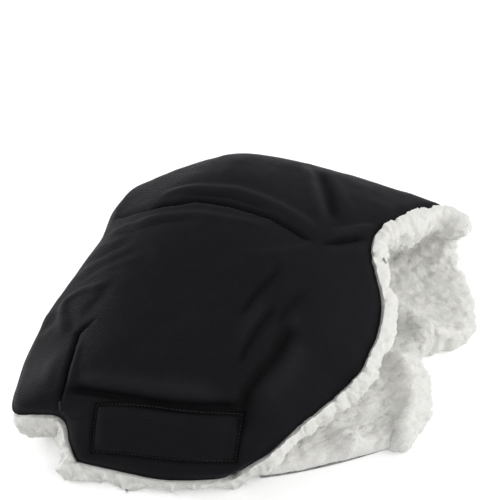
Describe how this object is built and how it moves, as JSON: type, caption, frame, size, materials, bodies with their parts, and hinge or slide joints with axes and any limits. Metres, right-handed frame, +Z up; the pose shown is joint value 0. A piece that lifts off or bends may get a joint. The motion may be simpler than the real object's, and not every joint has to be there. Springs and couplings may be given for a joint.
{
  "type": "stroller hand muff",
  "caption": "Padded black twill hand muff lined with thick cream lambswool, wrapping round a push bar and closing at the front with a hook-and-loop tab.",
  "frame": {"origin": "on the surface that the muff lies on, under the middle of its own box", "axes": "+X to the wearer's view right along the push bar, -Y to the front with the closing tab, +Z up"},
  "size_m": [0.4418, 0.381, 0.1432],
  "materials": {
    "black_twill": "matt water-shedding twill with a fine diagonal weave",
    "white_wadding": "matt fibre wadding, hidden between shell and lining",
    "cream_lambswool": "deep curly lambswool pile",
    "black_tape": "woven hook and loop tape with a short dull pile",
    "black_thread": "bonded sewing thread with a slight sheen"
  },
  "bodies": {
    "back": {"back_shell": "black_twill", "back_wadding": "white_wadding", "back_lining": "cream_lambswool", "back_left_edging": "cream_lambswool", "back_right_edging": "cream_lambswool", "tongue": "black_twill", "loop_tape": "black_tape", "loop_stitching": "black_thread"},
    "upper": {"upper_shell": "black_twill", "upper_wadding": "white_wadding", "upper_lining": "cream_lambswool", "upper_left_edging": "cream_lambswool", "upper_right_edging": "cream_lambswool", "left_bar_tack": "black_thread", "right_bar_tack": "black_thread"},
    "tab": {"tab_shell": "black_twill", "tab_wadding": "white_wadding", "tab_facing": "black_twill", "hook_tape": "black_tape", "hook_stitching": "black_thread", "hem_edging": "cream_lambswool"}
  },
  "joints": [
    {"name": "waist_crease", "type": "hinge", "parent": "back", "child": "upper", "pos_m": [-0.06718, 0.06994, 0.1404], "axis": [-1, 0, 0], "range_deg": [0, 75]},
    {"name": "tab_fold", "type": "hinge", "parent": "upper", "child": "tab", "pos_m": [-0.05593, -0.14066, 0.06872], "axis": [-1, 0, 0], "range_deg": [0, 70]}
  ]
}
